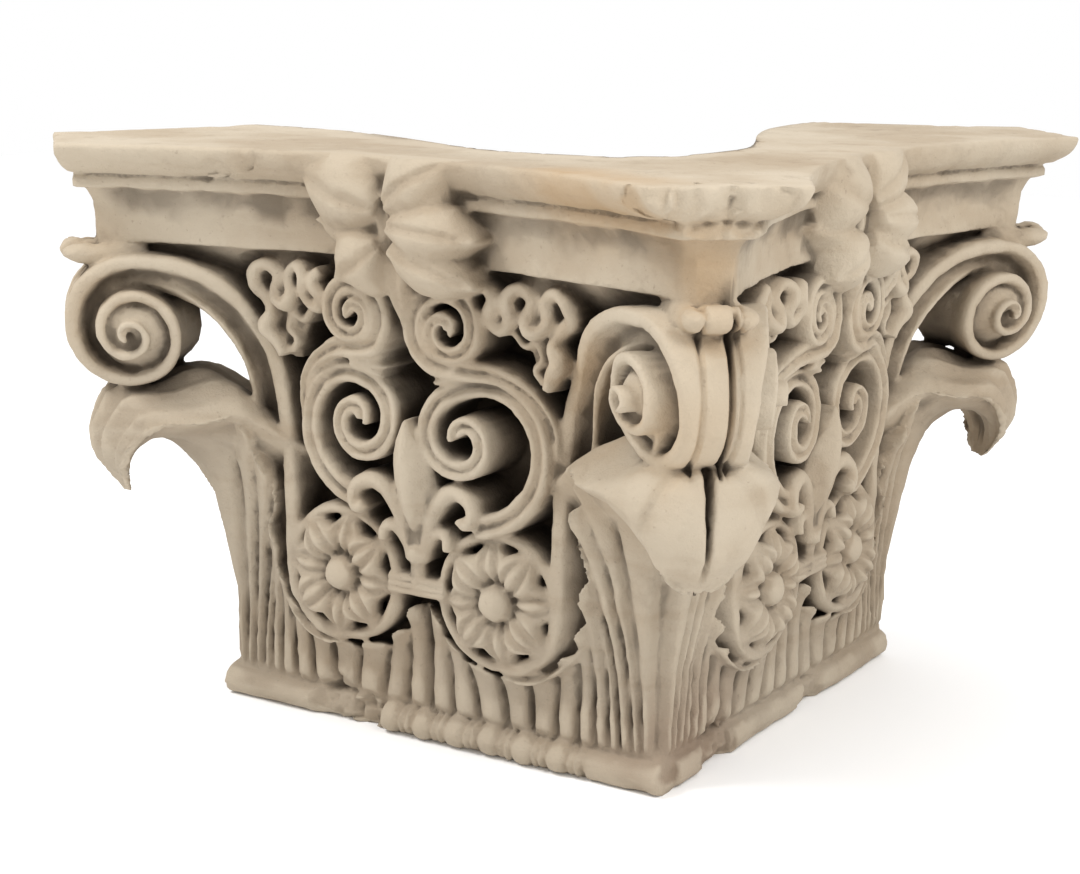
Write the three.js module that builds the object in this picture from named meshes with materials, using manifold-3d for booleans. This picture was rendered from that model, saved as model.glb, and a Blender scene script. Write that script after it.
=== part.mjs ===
// Corner pier capital of the Corinthian kind, carved as one block of stone.
//
// The plan is an L: two full faces (front, looking to -Y, and right, looking to +X), three
// diagonal horns, and a notch behind, where the block met the angle of a building.
// Lengths are in modules, as in the old pattern books: one module is half the side of the base.
// A face is drawn in its own coordinates: u runs along it, depth stands out from the centre
// of the block, and z is height. A horn is drawn on its diagonal: s = (|x| + |y|) / 2.

import * as THREE from 'three';
import { mergeVertices } from 'three/addons/utils/BufferGeometryUtils.js';
import Module from 'manifold-3d';

const wasm = await Module();
wasm.setup();

// ---- driving dimensions ----------------------------------------------------------------
const MODULE = 305;             // mm, half the side of the square base
const HEIGHT = 2.242;           // bed to bed
const BAND = 0.13;              // height of the astragal at the foot
const CORE_DEPTH = 0.88;        // ground behind the ornament
const CORE_CHAMFER = 0.3;       // cut off each corner of the core, under the horns
const WALL_INNER = 0.55;        // inner face of the two walls behind the faces
const WALL_TOP = 1.9;           // above this the notch is hollowed further, up to the top bed
const CUT_END = 0.42;           // where both arms are cut off flat
const OVERLAP = 0.05;           // of two tools that meet
const BEYOND = 3;               // reach of a cutting tool that goes past the block on every side
const STONE = { color: 0xd2c3a2, roughness: 0.9, metalness: 0 };

const ABACUS = {
  // height, mid-face depth, hollow of the side, half-width and diagonal of the horn's end
  levels: [
    { z: 1.86, depth: 1.15, hollow: 0.15, end: 0.06, diagonal: 1.334 },
    { z: 2.0, depth: 1.155, hollow: 0.155, end: 0.065, diagonal: 1.34 },
    { z: 2.035, depth: 1.18, hollow: 0.17, end: 0.12, diagonal: 1.385 },
    { z: 2.08, depth: 1.185, hollow: 0.17, end: 0.125, diagonal: 1.387 },
    { z: 2.12, depth: 1.235, hollow: 0.21, end: 0.2, diagonal: 1.415 },
    { z: 2.19, depth: 1.265, hollow: 0.23, end: 0.265, diagonal: 1.436 },
    { z: HEIGHT, depth: 1.27, hollow: 0.235, end: 0.275, diagonal: 1.4386 },
  ],
  stepsPerSide: 5,
};

const RING = { u: 0.352, z: 0.632, outer: 0.27, thickness: 0.05, front: 1.08, back: 0.86, steps: 16 };
const FLOWER = {
  u: 0.352, z: 0.632, outer: 0.24, squash: 1, petals: 8, front: 1.085, back: 0.86, boss: 0.07, cup: 0.03,
};
const BIG_SCROLL = {
  u: 0.29, z: 1.235, radius: 0.255, inner: 0.07, turns: 1.55, front: 1.13, width: 0.06,
};
const SMALL_SCROLL = {
  u: 0.19, z: 1.63, radius: 0.165, inner: 0.05, turns: 1.35, front: 1.21, width: 0.055,
};
const VOLUTE = {
  u: 1.12, depth: 1.33, z: 1.533,     // centre, on the plane of the lip
  turn: Math.PI / 6,                  // the plane is turned this far out of the face
  radius: 0.278, inner: 0.05, turns: 2, rise: 0.1, lip: 0.068, channel: 0.05, perTurn: 10,
};
const RIDGE = 0.045;            // how far the ridge of a pointed leaf stands above its sides
const STALK = { depth: 1.09, bend: 0.7, back: 0.85, width: 0.13, thickness: 0.24, free: 0.75 };
const FLEURON = {
  u: 0, z: 1.99, outer: 0.34, squash: 0.74, petals: 6, front: 1.27, back: 1.05, boss: 0.05, cup: 0.05,
};

const LEAF = [
  // outer s and z, inner s and z, half-width across the diagonal, fold of the section
  [0.985, 0.06, 0.8, 0.06, 0.2, 1], [1.002, 0.43, 0.8, 0.43, 0.24, 1],
  [1.02, 0.62, 0.8, 0.65, 0.26, 1], [1.05, 0.8, 0.8, 0.85, 0.27, 1],
  [1.08, 0.93, 0.82, 1.02, 0.28, 0.95], [1.126, 1.03, 0.93, 1.18, 0.29, 0.85],
  [1.165, 1.07, 1.09, 1.36, 0.27, 0.7], [1.2, 1.085, 1.244, 1.31, 0.24, 0.55],
  [1.235, 1.078, 1.338, 1.3, 0.22, 0.45], [1.265, 1.045, 1.37, 1.2, 0.2, 0.4],
  [1.277, 1.0, 1.385, 1.11, 0.17, 0.35], [1.273, 0.94, 1.375, 1.01, 0.13, 0.3],
  [1.264, 0.88, 1.333, 0.945, 0.07, 0.3], [1.27, 0.86, 1.29, 0.868, 0.015, 0.3],
];

const DIAGONAL = Math.SQRT1_2;  // cosine and sine of the diagonal's 45 degrees

// ---- small helpers ---------------------------------------------------------------------
const mix = (a, b, t) => a + (b - a) * t;
const facePoint = (u, depth, z) => new THREE.Vector3(u, -depth, z);

// A closed solid through rings of points; each ring has the same number of points.
function loft(rings, closed = false) {
  const count = rings[0].length;
  const index = [];
  const last = closed ? rings.length : rings.length - 1;
  for (let i = 0; i < last; i += 1) {
    const here = i * count;
    const next = ((i + 1) % rings.length) * count;
    for (let j = 0; j < count; j += 1) {
      const k = (j + 1) % count;
      index.push(here + j, here + k, next + k, here + j, next + k, next + j);
    }
  }
  const points = rings.flat();
  if (!closed) {
    const end = (rings.length - 1) * count;
    const [first, final] = [points.length, points.length + 1];
    for (let j = 0; j < count; j += 1) {
      const k = (j + 1) % count;
      index.push(first, k, j, final, end + j, end + k);
    }
    points.push(middleOf(rings[0]), middleOf(rings.at(-1)));
  }
  return meshOf(points, index);
}

function middleOf(ring) {
  const sum = ring.reduce((total, point) => total.add(point), new THREE.Vector3());
  return sum.divideScalar(ring.length);
}

function meshOf(points, index) {
  const geometry = new THREE.BufferGeometry();
  const flat = points.flatMap((p) => [p.x, p.y, p.z]);
  geometry.setAttribute('position', new THREE.BufferAttribute(new Float32Array(flat), 3));
  geometry.setIndex(index);
  return geometry;
}

function signedVolume(position, index) {
  const [a, b, c] = [new THREE.Vector3(), new THREE.Vector3(), new THREE.Vector3()];
  let sum = 0;
  for (let i = 0; i < index.length; i += 3) {
    a.fromArray(position, index[i] * 3);
    b.fromArray(position, index[i + 1] * 3);
    c.fromArray(position, index[i + 2] * 3);
    sum += a.dot(b.cross(c));
  }
  return sum;
}

// Any closed geometry as a solid that can be joined and cut, its faces turned outwards.
function solid(geometry) {
  const bare = geometry.clone();
  bare.deleteAttribute('normal');
  bare.deleteAttribute('uv');
  const merged = mergeVertices(bare, 1e-5);
  const position = merged.attributes.position.array;
  const index = Array.from(merged.index.array);
  if (signedVolume(position, index) < 0) {
    for (let i = 0; i < index.length; i += 3) {
      [index[i], index[i + 1]] = [index[i + 1], index[i]];
    }
  }
  return new wasm.Manifold(new wasm.Mesh({
    numProp: 3, vertProperties: new Float32Array(position), triVerts: new Uint32Array(index),
  }));
}

const quarterTurns = (geometry, turns) => geometry.clone().rotateZ(turns * Math.PI / 2);

const acrossFace = (geometry) => geometry.clone().scale(-1, 1, 1);

// A band that follows a path of [u, z] in the plane of a face.
function band(path, width, frontOf, backOf) {
  const rings = path.map(([u, z], i) => {
    const [u0, z0] = path[Math.max(i - 1, 0)];
    const [u1, z1] = path[Math.min(i + 1, path.length - 1)];
    const length = Math.hypot(u1 - u0, z1 - z0);
    const nu = -(z1 - z0) / length;
    const nz = (u1 - u0) / length;
    const t = i / (path.length - 1);
    const half = width(t) / 2;
    const [front, back] = [frontOf(u, t), backOf(u, t)];
    return [
      facePoint(u - nu * half, back, z - nz * half),
      facePoint(u + nu * half, back, z + nz * half),
      facePoint(u + nu * half, front, z + nz * half),
      facePoint(u - nu * half, front, z - nz * half),
    ];
  });
  return loft(rings);
}

// Points of a spiral that narrows evenly in ratio, from its outer radius to its inner one.
function spiral(centre, outer, inner, startAngle, turns, stepsPerTurn, sense) {
  const steps = Math.round(turns * stepsPerTurn);
  return Array.from({ length: steps + 1 }, (_, i) => {
    const t = i / steps;
    const r = outer * (inner / outer) ** t;
    const angle = startAngle + sense * t * turns * 2 * Math.PI;
    return [centre[0] + r * Math.cos(angle), centre[1] + r * Math.sin(angle)];
  });
}

function smoothPath(points, steps) {
  const curve = new THREE.CatmullRomCurve3(points.map(([u, z]) => new THREE.Vector3(u, z, 0)));
  return curve.getPoints(steps).map((p) => [p.x, p.y]);
}

// ---- the block -------------------------------------------------------------------------
function abacusRing({ z, depth, hollow, end, diagonal }) {
  const ring = [];
  const corner = diagonal * 2 * DIAGONAL;
  const cornerU = (corner - end) * DIAGONAL;
  for (let side = 0; side < 4; side += 1) {
    for (let i = 0; i <= ABACUS.stepsPerSide; i += 1) {
      const u = mix(-cornerU, cornerU, i / ABACUS.stepsPerSide);
      const full = (corner + end) * DIAGONAL;
      const shape = depth + (full - depth) * (u / cornerU) ** 2;
      const point = facePoint(u, Math.min(shape, depth + hollow * 4), z);
      ring.push(point.applyAxisAngle(new THREE.Vector3(0, 0, 1), side * Math.PI / 2));
    }
  }
  return ring;
}

const abacus = () => loft(ABACUS.levels.map(abacusRing));

// The bell behind the ornament: square, with its corners cut back under the horns.
function core() {
  const levels = [
    [-0.05, 0.99, 0.03], [BAND, 0.99, 0.03], [0.3, 0.93, 0.1], [0.9, CORE_DEPTH, 0.12],
    [1.12, CORE_DEPTH, CORE_CHAMFER], [1.65, 0.9, CORE_CHAMFER], [1.88, 1.02, CORE_CHAMFER],
  ];
  return loft(levels.map(([z, depth, cut]) => {
    const ring = [];
    for (let side = 0; side < 4; side += 1) {
      for (const u of [-(depth - cut), depth - cut]) {
        const point = facePoint(u, depth, z);
        ring.push(point.applyAxisAngle(new THREE.Vector3(0, 0, 1), side * Math.PI / 2));
      }
    }
    return ring;
  }));
}

// Fluted shell of leaves round the foot. Each flute rises from the band to the shell's edge.
function shell() {
  const edge = [
    [0, 0.55], [0.12, 0.41], [0.27, 0.34], [0.44, 0.335], [0.59, 0.41],
    [0.7, 0.58], [0.71, 0.82], [0.73, 1.02], [0.76, 1.2], [0.95, 1.2],
  ];
  const [grooveDepth, lobeRise] = [0.03, 0.02];
  const foot = [0, 0.14, 0.28, 0.42, 0.54, 0.65, 0.75, 0.83, 0.91, 0.985];
  const columns = [];
  for (let i = 0; i < foot.length; i += 1) {
    columns.push({ u: foot[i], top: edge[i], deep: grooveDepth });
    if (i + 1 < foot.length) {
      const [here, next] = [edge[i], edge[i + 1]];
      const top = [mix(here[0], next[0], 0.5), mix(here[1], next[1], 0.5) + lobeRise];
      columns.push({ u: mix(foot[i], foot[i + 1], 0.5), top, deep: 0 });
    }
  }
  const ringOf = ({ u, top, deep, side }) => {
    const midU = mix(u, top[0], 0.3);
    return [
      facePoint(side * u, 0.8, 0.05), facePoint(side * u, 1.0 - deep * 0.5, 0.05),
      facePoint(side * midU, 1.015 - deep, mix(BAND, top[1], 0.55)),
      facePoint(side * top[0], 1.09 - deep, top[1]), facePoint(side * top[0], 0.8, top[1] - 0.03),
    ];
  };
  const left = columns.slice(1).reverse().map((column) => ringOf({ ...column, side: -1 }));
  return loft([...left, ...columns.map((column) => ringOf({ ...column, side: 1 }))]);
}

// Roll at the foot, from one u to another; each pitch holds a long bead and a thin reel.
function astragal(from, to, pitches) {
  const profile = [[0, 0.04], [0.15, 0.066], [0.5, 0.066], [0.66, 0.04]];
  const pitch = (to - from) / pitches;
  const stations = [];
  for (let i = 0; i < pitches; i += 1) {
    stations.push(...profile.map(([at, r]) => [from + (i + at) * pitch, r]));
  }
  stations.push([to, 0.04]);
  return loft(stations.map(([u, r]) => Array.from({ length: 6 }, (_, i) => {
    const angle = (i + 0.5) * Math.PI / 3;
    return facePoint(u, 0.985 + r * Math.cos(angle), BAND / 2 + r * 0.95 * Math.sin(angle));
  })));
}

// ---- ornament of one face --------------------------------------------------------------
function ring() {
  const { u, z, outer, thickness, front, back, steps } = RING;
  const rings = Array.from({ length: steps }, (_, i) => {
    const angle = i / steps * 2 * Math.PI;
    const at = (r, depth) => facePoint(u + r * Math.cos(angle), depth, z + r * Math.sin(angle));
    return [at(outer, back), at(outer, front), at(outer - thickness, front), at(outer - thickness, back)];
  });
  return loft(rings, true);
}

// A flower with pointed petals as one solid: rings of points that go in and out round a boss.
function blossom({ u, z, outer, squash, petals, front, back, boss, cup }) {
  const profile = [
    [1, 0.74, back], [1, 0.74, front - 0.03], [0.72, 0.6, front + cup], [0.34, 0.3, front - 0.02],
    [boss / outer, boss / outer, front], [boss * 0.6 / outer, boss * 0.6 / outer, front + boss * 0.6],
  ];
  return loft(profile.map(([tip, valley, depth]) => Array.from({ length: petals * 2 }, (_, i) => {
    const angle = (i + 1) / petals * Math.PI;
    const r = outer * (i % 2 ? tip : valley);
    return facePoint(u + r * Math.cos(angle), depth, z + squash * r * Math.sin(angle));
  })));
}

function bigScroll() {
  const { u, z, radius, inner, turns, front, width } = BIG_SCROLL;
  const rise = smoothPath([[0.5, 0.9], [0.545, 1.0], [0.562, 1.12]], 4);
  const curl = spiral([u, z], radius, inner, 0, turns, 9, 1);
  return band([...rise, ...curl], (t) => width * mix(1.1, 0.9, t), (at, t) => front + 0.02 * t, () => 0.84);
}

function smallScroll() {
  const { u, z, radius, inner, turns, front, width } = SMALL_SCROLL;
  const tail = smoothPath([[0.6, 1.28], [0.56, 1.42], [0.42, 1.525], [0.22, 1.53], [0.08, 1.5]], 5);
  const curl = spiral([u, z], radius, inner, -Math.PI * 0.75, turns, 8, -1);
  const frontOf = (at, t) => mix(1.12, front, Math.min(1, t * 2));
  return band([...tail, ...curl], (t) => width * mix(1.1, 0.9, t), frontOf, () => 0.86);
}

// Curled acanthus leaf under the abacus: a lump with three rolled folds.
function curlyLeaf() {
  const folds = [[0.45, 1.72, 0.08], [0.6, 1.76, 0.09], [0.71, 1.72, 0.07], [0.57, 1.58, 0.085]];
  return folds.map(([u, z, r]) => {
    const roll = new THREE.CylinderGeometry(r, r * 0.8, 0.34, 6);
    return roll.translate(u, -(1.16 - 0.17), z);
  });
}

// Upright leaf with a ridge down its front, through stations of [z, half-width, front].
function pointedLeaf(stations, back) {
  return loft(stations.map(([z, half, front]) => {
    const side = front - RIDGE;
    return [
      facePoint(-half, back, z), facePoint(half, back, z), facePoint(half, side, z),
      facePoint(0, front, z), facePoint(-half, side, z),
    ];
  }));
}

function lily() {
  const stem = band([[0, 0.6], [0, 0.7], [0, 0.8]], () => 0.09, () => 1.1, () => 0.85);
  const bud = pointedLeaf([
    [0.78, 0.03, 1.1], [0.95, 0.07, 1.12], [1.1, 0.085, 1.16], [1.2, 0.05, 1.17], [1.28, 0.008, 1.16],
  ], 0.85);
  const line = smoothPath([
    [0.04, 0.78], [0.09, 0.92], [0.16, 1.02], [0.25, 1.03], [0.27, 0.95], [0.23, 0.93],
  ], 6);
  const curl = band(line, (t) => mix(0.05, 0.08, t), () => 1.12, () => 0.85);
  const tie = band([[-0.13, 0.64], [0, 0.635], [0.13, 0.64]], () => 0.085, () => 1.09, () => 0.86);
  return [stem, bud, tie, curl, acrossFace(curl)];
}

// A flower of cupped petals on the middle of the abacus, and the pointed leaf that hangs below it.
function fleuron() {
  const hanging = [[1.9, 0.12, 1.24], [1.8, 0.1, 1.25], [1.7, 0.05, 1.24], [1.63, 0.01, 1.21]];
  return [blossom(FLEURON), pointedLeaf(hanging, 1.0)];
}

// The stalk rises beside the ring and arches over towards the horn.
function stalk() {
  const path = smoothPath([
    [0.56, 0.52], [0.6, 0.62], [0.6, 0.8], [0.6, 1.1],
    [0.64, 1.4], [0.74, 1.62], [0.85, 1.71], [0.97, 1.75],
  ], 10);
  const frontOf = (u) => STALK.depth + Math.max(0, u - STALK.bend) * Math.tan(VOLUTE.turn);
  const backOf = (u) => Math.min(STALK.back, frontOf(u) - STALK.thickness) + Math.max(0, u - STALK.free);
  return band(path, () => STALK.width, frontOf, backOf);
}

function faceOrnament() {
  const half = [ring(), blossom(FLOWER), bigScroll(), smallScroll(), ...curlyLeaf(), stalk()];
  return [...half, ...half.map(acrossFace), ...lily(), ...fleuron()];
}

// ---- horns -----------------------------------------------------------------------------
// The two scrolls of a horn as one solid. Each face is a spiral sheet on a turned plane: a lip,
// then a sunk channel, then the wall of the next turn, which stands a little further out.
function volutes() {
  const { u, depth, z, turn, radius, inner, turns, rise, lip, channel, perTurn } = VOLUTE;
  const [cos, sin] = [Math.cos(turn), Math.sin(turn)];
  const steps = Math.round(turns * perTurn);
  const ratio = (inner / radius) ** (1 / steps);
  const points = [];
  for (let i = 0; i <= steps; i += 1) {
    const r = radius * ratio ** i;
    const angle = Math.PI * 0.75 - i / perTurn * 2 * Math.PI;
    const place = (reach, lift) => {
      const [q, out] = [reach * Math.cos(angle), lift + rise * i / steps];
      return facePoint(u + q * cos - out * sin, depth + q * sin + out * cos, z + reach * Math.sin(angle));
    };
    const floor = r * mix(1, ratio ** perTurn, 0.92);
    points.push(place(r, 0), place(r * (1 - lip / radius), 0), place(floor, -channel));
  }
  points.push(facePoint(u - rise * sin, depth + rise * cos, z));
  const [outer, lipEdge, sunk, eye] = [(i) => 3 * i, (i) => 3 * i + 1, (i) => 3 * i + 2, 3 * steps + 3];
  const sheet = [];
  const quad = (a, b, c, d) => sheet.push(a, b, c, a, c, d);
  for (let i = 0; i < steps; i += 1) {
    quad(outer(i), outer(i + 1), lipEdge(i + 1), lipEdge(i));
    quad(lipEdge(i), lipEdge(i + 1), sunk(i + 1), sunk(i));
    if (i + perTurn < steps) {
      quad(sunk(i), sunk(i + 1), outer(i + perTurn + 1), outer(i + perTurn));
    } else {
      sheet.push(sunk(i), sunk(i + 1), eye);
    }
  }
  const gap = sunk(steps - perTurn);
  sheet.push(outer(steps), gap, eye, lipEdge(steps), outer(steps), eye, sunk(steps), lipEdge(steps), eye);
  const mirrored = points.map((p) => new THREE.Vector3(-p.y, -p.x, p.z));
  const count = points.length;
  const index = [...sheet];
  for (let i = 0; i < sheet.length; i += 3) {
    index.push(sheet[i] + count, sheet[i + 2] + count, sheet[i + 1] + count);
  }
  const rim = [...Array.from({ length: perTurn + 1 }, (_, i) => outer(i)), sunk(0), lipEdge(0)];
  rim.forEach((here, i) => {
    const next = rim[(i + 1) % rim.length];
    index.push(next, here, here + count, next, here + count, next + count);
  });
  return meshOf([...points, ...mirrored], index);
}

// Leaf on the corner: it climbs the angle of the block, bends out and hangs its tip.
function cornerLeaf() {
  return loft(LEAF.map(([outerS, outerZ, innerS, innerZ, half, fold]) => {
    const at = (s, z, across) => {
      const back = Math.abs(across) * fold;
      const [along, t] = [s * 2 - back / DIAGONAL, across / DIAGONAL];
      return new THREE.Vector3((along + t) / 2, -(along - t) / 2, z);
    };
    const sideS = mix(outerS, innerS, 0.35);
    const sideZ = mix(outerZ, innerZ, 0.55);
    return [
      at(outerS, outerZ, 0), at(mix(outerS, sideS, 0.25), mix(outerZ, sideZ, 0.25), half * 0.5),
      at(sideS, sideZ, half), at(innerS, innerZ, half * 0.4), at(innerS, innerZ, -half * 0.4),
      at(sideS, sideZ, -half), at(mix(outerS, sideS, 0.25), mix(outerZ, sideZ, 0.25), -half * 0.5),
    ];
  }));
}

// ---- the notch behind ------------------------------------------------------------------
function prism(outline, from, to) {
  const shape = new THREE.Shape(outline.map(([x, y]) => new THREE.Vector2(x, y)));
  const depth = to - from;
  return new THREE.ExtrudeGeometry(shape, { depth, bevelEnabled: false }).translate(0, 0, from);
}

// The notch is the same on both arms, mirrored across the diagonal through the front horn.
function notchOutline(half) {
  const mirrored = half.slice(0, -1).reverse().map(([x, y]) => [-y, -x]);
  return [[-BEYOND, -CUT_END], ...half, ...mirrored, [CUT_END, BEYOND], [-BEYOND, BEYOND]];
}

function notch() {
  const top = notchOutline([
    [-1.07, -CUT_END], [-0.785, -0.456], [-0.457, -0.57], [-0.07, -0.75],
    [0.2, -0.83], [0.6, -0.78], [0.69, -0.69],
  ]);
  const lower = notchOutline([[-0.7, -CUT_END], [-0.6, -WALL_INNER], [WALL_INNER, -WALL_INNER]]);
  return [prism(top, WALL_TOP, BEYOND), prism(lower, -BEYOND, WALL_TOP + OVERLAP)];
}

// ---- assembly --------------------------------------------------------------------------
function carveCapital() {
  const pieces = [abacus(), core()];
  const turned = (forms, sides) => sides.flatMap((side) => forms.map((form) => quarterTurns(form, side)));
  pieces.push(...turned(faceOrnament(), [0, 1]));
  pieces.push(...turned([shell()], [-1, 0, 1, 2]));
  pieces.push(...turned([volutes(), cornerLeaf()], [-1, 0, 1]));
  pieces.push(astragal(-0.22, 0.69, 6), quarterTurns(astragal(-0.85, 0.85, 2), 1));
  const joined = wasm.Manifold.union(pieces.map(solid));
  const square = [[-BEYOND, -BEYOND], [BEYOND, -BEYOND], [BEYOND, BEYOND], [-BEYOND, BEYOND]];
  const slab = prism(square, -BEYOND, 0);
  const cutters = [...notch(), slab].map(solid);
  return cutters.reduce((block, cutter) => block.subtract(cutter), joined);
}

function geometryOf(block) {
  const mesh = block.getMesh();
  const geometry = new THREE.BufferGeometry();
  const position = Float32Array.from(mesh.vertProperties, (v) => v * MODULE);
  geometry.setAttribute('position', new THREE.BufferAttribute(position, 3));
  geometry.setIndex(Array.from(mesh.triVerts));
  geometry.computeVertexNormals();
  return geometry;
}

const group = new THREE.Group();
const capital = new THREE.Mesh(geometryOf(carveCapital()), new THREE.MeshStandardMaterial(STONE));
capital.name = 'capital';
group.add(capital);

export default group;
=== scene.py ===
# %% [markdown]
# # A corner capital, carved from one block
# The real object is a pier capital in buff stone, L-shaped in plan, with leaves, scrolls and
# flowers cut deep into two faces. A carver thinks in straps, rolls and petals that grow out of
# one block. This lesson does the same: each form is a small closed mesh, all of them are fused
# into one skin, and only then is the skin worn, chipped and coloured. Modelling one huge mesh by
# hand would give the same look, but nothing in it could be measured or moved afterwards.

# %% Load the measured frame
import math

import bmesh
import bpy
import numpy as np
from mathutils import Matrix, Vector
from mathutils.bvhtree import BVHTree


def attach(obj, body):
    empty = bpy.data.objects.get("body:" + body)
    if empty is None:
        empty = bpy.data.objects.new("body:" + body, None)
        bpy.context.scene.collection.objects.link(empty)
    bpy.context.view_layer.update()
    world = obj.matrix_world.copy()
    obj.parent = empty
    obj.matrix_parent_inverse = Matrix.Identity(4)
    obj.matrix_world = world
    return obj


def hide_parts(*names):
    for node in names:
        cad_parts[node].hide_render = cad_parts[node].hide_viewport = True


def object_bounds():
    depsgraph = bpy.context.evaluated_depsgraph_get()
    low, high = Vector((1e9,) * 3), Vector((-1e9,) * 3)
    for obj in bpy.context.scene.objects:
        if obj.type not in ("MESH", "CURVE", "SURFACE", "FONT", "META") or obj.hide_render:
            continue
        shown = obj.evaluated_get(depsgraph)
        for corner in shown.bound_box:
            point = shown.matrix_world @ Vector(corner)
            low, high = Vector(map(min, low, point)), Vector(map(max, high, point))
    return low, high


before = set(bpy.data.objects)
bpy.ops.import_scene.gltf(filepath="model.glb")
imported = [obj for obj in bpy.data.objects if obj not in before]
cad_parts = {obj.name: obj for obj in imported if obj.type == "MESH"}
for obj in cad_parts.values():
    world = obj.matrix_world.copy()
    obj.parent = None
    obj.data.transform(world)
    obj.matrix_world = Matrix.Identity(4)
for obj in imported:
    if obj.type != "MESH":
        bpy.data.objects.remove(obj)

cad_low, cad_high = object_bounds()
HEIGHT = 2.242                       # bed to bed, in modules
MODULE = (cad_high.z - cad_low.z) / HEIGHT
print("one module is", round(MODULE * 1000, 1), "mm, half the side of the base")

# %% [markdown]
# ## Lines and lofts
# Old pattern books measure a capital in modules, and every size below is in that unit. On a
# face, u runs along it, depth stands out of it and z is height. Three tools shape nearly all of
# the carving: a smooth line through a few points, a scroll that narrows by quarter turns, and a
# loft that skins a row of rings. Curve objects could do it too, but their bevel can't change its
# section along the way, and the straps of a capital do.

# %% A smooth line through a few points
def bend(t, a, b, c, d):
    """The Catmull-Rom curve from b to c, as t goes from 0 to 1. a and d are the points beyond."""
    return b + 0.5 * t * (c - a + t * (2 * a - 5 * b + 4 * c - d + t * (3 * (b - c) + d - a)))


def along(points, count):
    """Points spaced evenly on a smooth curve through the given ones."""
    p = np.asarray(points, float)
    ends = np.vstack([2 * p[0] - p[1], p, 2 * p[-1] - p[-2]])
    t = np.linspace(0, 1, 12, endpoint=False)[:, None]
    spans = [bend(t, *ends[i:i + 4]) for i in range(len(p) - 1)]
    line = np.vstack([*spans, p[-1:]])
    reach = np.concatenate([[0], np.cumsum(np.linalg.norm(np.diff(line, axis=0), axis=1))])
    at = np.linspace(0, reach[-1], count)
    return np.column_stack([np.interp(at, reach, line[:, k]) for k in range(p.shape[1])])


def ease(values, at):
    """A smooth value between those given at 0, 1, 2 and so on."""
    v = np.asarray(values, float)
    ends = np.concatenate([[2 * v[0] - v[1]], v, [2 * v[-1] - v[-2]]])
    i = np.clip(np.floor(at).astype(int), 0, len(v) - 2)
    return bend(np.clip(at - i, 0, 1), ends[i], ends[i + 1], ends[i + 2], ends[i + 3])


def step(low, high, x):
    """0 below low, 1 above high, smooth between."""
    t = np.clip((np.asarray(x, float) - low) / (high - low), 0, 1)
    return t * t * (3 - 2 * t)


# %% A scroll, given its radius at every quarter turn
def scroll(centre, start, radii, sense, per_quarter=9):
    """A spiral line. start is in degrees, and sense is 1 anticlockwise, -1 clockwise."""
    at = np.linspace(0, len(radii) - 1, (len(radii) - 1) * per_quarter + 1)
    angle = math.radians(start) + sense * at * math.pi / 2
    r = ease(radii, at)
    return np.column_stack([centre[0] + r * np.cos(angle), centre[1] + r * np.sin(angle)])


# %% Skins over rings, and straps along a line
def loft(rings, closed=False):
    """Vertices and faces of a closed skin over rings with the same number of points."""
    rings = np.asarray(rings, float)
    n, m = rings.shape[:2]
    i = np.arange(n if closed else n - 1)[:, None]
    j = np.arange(m)[None, :]
    here, there = i * m, (i + 1) % n * m
    quads = np.stack([here + j, here + (j + 1) % m, there + (j + 1) % m, there + j], -1)
    faces = quads.reshape(-1, 4).tolist()
    if not closed:
        faces += [list(range(m))[::-1], list(range((n - 1) * m, n * m))]
    return rings.reshape(-1, 3), faces


def sweep(line, section, closed=False):
    """A strap along a line of (u, z). section(t, point) gives rows of (across, depth)."""
    line = np.asarray(line, float)
    run = np.roll(line, -1, 0) - np.roll(line, 1, 0) if closed else np.gradient(line, axis=0)
    run /= np.linalg.norm(run, axis=1)[:, None]
    rings = []
    for i, (point, way) in enumerate(zip(line, run)):
        rows = np.asarray(section(i / (len(line) - 1), point))
        u = point[0] - way[1] * rows[:, 0]
        z = point[1] + way[0] * rows[:, 0]
        rings.append(np.column_stack([u, rows[:, 1], z]))
    return loft(rings, closed)


# across as a part of the width, and how far below the front
RIBBED = np.array([(-0.5, -0.03), (-0.44, -0.008), (-0.3, 0), (-0.16, -0.004), (-0.09, -0.024),
                   (0.0, -0.026), (0.1, -0.02), (0.2, -0.006), (0.36, -0.004), (0.46, -0.014),
                   (0.5, -0.035)])
ROUNDED = np.array([(-0.5, -0.05), (-0.42, -0.022), (-0.25, -0.006), (0, 0), (0.25, -0.006),
                    (0.42, -0.022), (0.5, -0.05)])


def strap(profile, width, front, back):
    """The section of a strap: its carved front from a profile, and a plain back."""
    rows = profile * [width, 1] + [0, front]
    return np.vstack([rows, [(width / 2, back), (-width / 2, back)]])


# %% [markdown]
# ## A bench to gather the pieces on
# Both faces carry the same ornament, each drawn once for its right half. The bench mirrors and
# turns every form into its place in the block, and keeps its skin facing outwards.

# %% The bench
bench = []


def volume_of(vertices, faces):
    total = 0.0
    for face in faces:
        a = vertices[face[0]]
        for k in range(1, len(face) - 1):
            total += np.dot(a, np.cross(vertices[face[k]], vertices[face[k + 1]]))
    return total


def place(form, sides=(0,), mirror=False):
    """Puts a form given as (u, depth, z) on the faces named: 0 front, 1 right, -1 left, 2 back."""
    vertices, faces = form
    for side in sides:
        for flip in ((1, -1) if mirror else (1,)):
            x, y, z = vertices[:, 0] * flip, -vertices[:, 1], vertices[:, 2]
            turn = side * math.pi / 2
            placed = np.column_stack([x * math.cos(turn) - y * math.sin(turn),
                                      x * math.sin(turn) + y * math.cos(turn), z])
            way = 1 if volume_of(placed, faces) > 0 else -1
            bench.append((placed, [face[::way] for face in faces]))


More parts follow.
